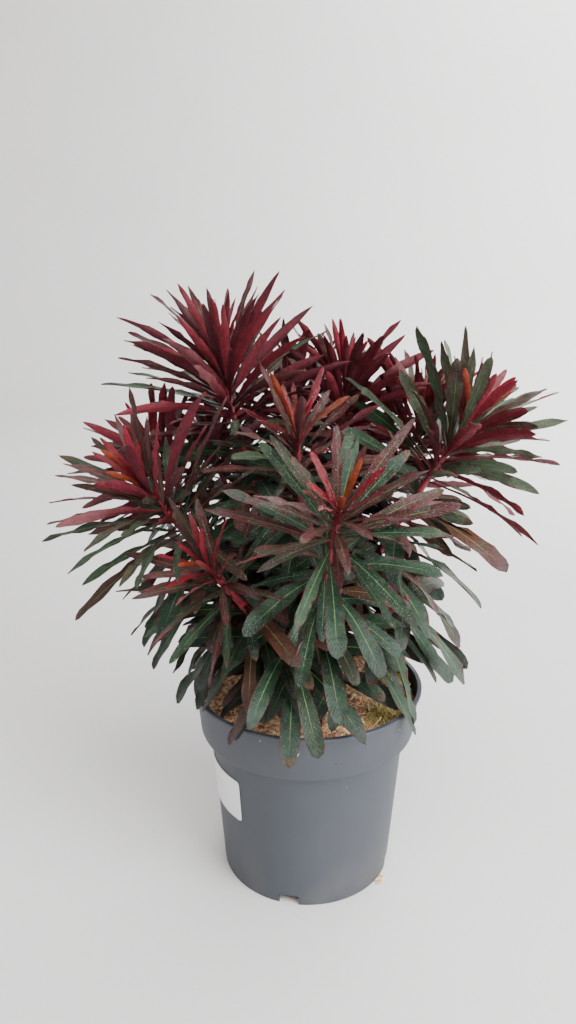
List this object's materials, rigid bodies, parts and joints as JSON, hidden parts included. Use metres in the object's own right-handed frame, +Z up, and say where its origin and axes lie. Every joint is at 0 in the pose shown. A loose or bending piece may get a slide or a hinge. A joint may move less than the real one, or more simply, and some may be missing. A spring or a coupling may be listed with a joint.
{
  "type": "potted euphorbia",
  "caption": "Bushy shrub with spiralling whorls of narrow wine-red and dark green leaves on upright stems, planted in soil in a round tapered nursery pot with a wide collar.",
  "frame": {"origin": "centre of the pot's underside, on the pot's axis, at the level of the surface that it stands on", "axes": "+Z up along the pot's axis; -Y towards the viewer, the side with the front drain notch; +X to the viewer's right"},
  "size_m": [0.3895, 0.3905, 0.4964],
  "materials": {
    "pot": "matte mid-grey injection-moulded plastic, black inside",
    "label": "smooth white label stock, blank",
    "soil": "loose potting mix of dark peat and pale wood fibre with some moss",
    "leaf_red": "smooth leaf, wine red beneath and dark green to crimson above",
    "leaf_green": "smooth leaf, dark green with a pale midrib and a reddish edge"
  },
  "bodies": {
    "root": {"pot": "pot", "pot_label": "label", "soil": "soil", "top_left_leafy_stem": "leaf_green", "top_left_crown": "leaf_red", "right_leafy_stem": "leaf_green", "right_crown": "leaf_red", "front_leafy_stem": "leaf_green", "front_crown": "leaf_red", "left_front_leafy_stem": "leaf_green", "left_front_crown": "leaf_red", "top_middle_leafy_stem": "leaf_green", "top_middle_crown": "leaf_red", "centre_leafy_stem": "leaf_green", "centre_crown": "leaf_red", "left_back_leafy_stem": "leaf_green", "left_back_crown": "leaf_red", "low_left_leafy_stem": "leaf_green", "low_left_crown": "leaf_red", "right_back_leafy_stem": "leaf_green", "right_back_crown": "leaf_red", "top_back_leafy_stem": "leaf_green", "top_back_crown": "leaf_red", "back_left_leafy_stem": "leaf_green", "back_left_crown": "leaf_red", "back_leafy_stem": "leaf_green", "back_crown": "leaf_red", "far_back_leafy_stem": "leaf_green", "far_back_crown": "leaf_red", "back_right_leafy_stem": "leaf_green", "back_right_crown": "leaf_red", "low_front_leafy_stem": "leaf_green", "low_right_leafy_stem": "leaf_green", "foot_left_leafy_stem": "leaf_green", "foot_back_leafy_stem": "leaf_green"}
  },
  "joints": []
}
